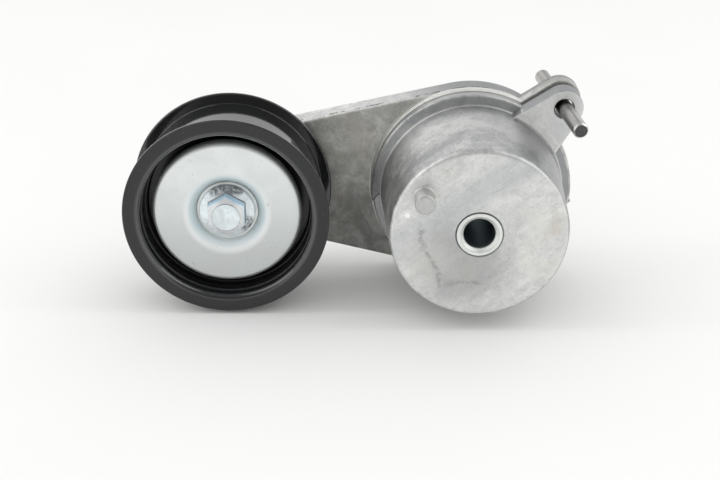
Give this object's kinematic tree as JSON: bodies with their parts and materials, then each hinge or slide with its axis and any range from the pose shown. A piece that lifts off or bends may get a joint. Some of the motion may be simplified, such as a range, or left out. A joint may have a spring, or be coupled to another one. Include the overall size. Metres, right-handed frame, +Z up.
{
  "type": "belt tensioner with flanged idler pulley",
  "caption": "Cast drum with a torsion spring and a swinging cast arm that carries a smooth flanged idler pulley on a ball bearing; a lock pin through two lugs holds the arm wound.",
  "frame": {"origin": "on the pivot axis, in the plane of the drum's mounting face", "axes": "+Y along the pivot axis from the mounting face to the arm, +X from the pulley side to the lug side, +Z up"},
  "size_m": [0.1795, 0.0833, 0.0857],
  "materials": {
    "cast_base": "die-cast, mottled",
    "cast_arm": "die-cast, dull",
    "zinc_steel": "bright bluish zinc",
    "zinc_sheet": "pale zinc on pressed sheet",
    "spring_steel": "dark drawn wire",
    "bearing_steel": "ground",
    "cage_steel": "pressed sheet",
    "pin_steel": "ground, lightly dulled",
    "pulley_black": "black, satin to gloss",
    "damper_plastic": "moulded",
    "bush_plastic": "moulded",
    "seal_rubber": "smooth"
  },
  "bodies": {
    "base": {"base_housing": "cast_base", "pivot_sleeve": "zinc_steel", "torsion_spring": "spring_steel", "thrust_washer": "bearing_steel", "retaining_plate": "zinc_steel"},
    "arm": {"tensioner_arm": "cast_arm", "front_pivot_bush": "bush_plastic", "rear_pivot_bush": "bush_plastic", "damper_ring": "damper_plastic", "spring_bush": "damper_plastic", "pulley_spacer": "bearing_steel", "bearing_inner_race": "bearing_steel", "front_dust_cover": "zinc_sheet", "rear_dust_shield": "zinc_sheet", "bolt_washer": "zinc_steel", "pulley_bolt": "zinc_steel"},
    "pulley": {"pulley_shell": "pulley_black", "bearing_outer_race": "bearing_steel", "front_bearing_seal": "seal_rubber", "rear_bearing_seal": "seal_rubber"},
    "ball_set": {"bearing_balls": "bearing_steel", "bearing_cage": "cage_steel"},
    "lock_pin": {"lock_pin": "pin_steel"}
  },
  "joints": [
    {"name": "arm_swing", "type": "hinge", "parent": "base", "child": "arm", "pos_m": [0, 0.05, 0], "axis": [0, -1, 0], "range_deg": [0, 18], "stiffness_Nm_per_rad": 8, "springref_deg": -40.11, "deforming": ["torsion_spring"]},
    {"name": "pulley_spin", "type": "hinge", "parent": "arm", "child": "pulley", "pos_m": [-0.0967, 0.0305, 0.0004], "axis": [0, -1, 0], "continuous": true},
    {"name": "cage_spin", "type": "hinge", "parent": "arm", "child": "ball_set", "pos_m": [-0.0967, 0.0305, 0.0004], "axis": [0, -1, 0], "continuous": true},
    {"name": "lock_pin_pull", "type": "slide", "parent": "base", "child": "lock_pin", "axis": [0.1269, -0.9906, -0.0506], "range_m": [0, 0.062]}
  ],
  "couplings": [
    {"joint": "cage_spin", "follows": "pulley_spin", "ratio": 0.6184}
  ]
}
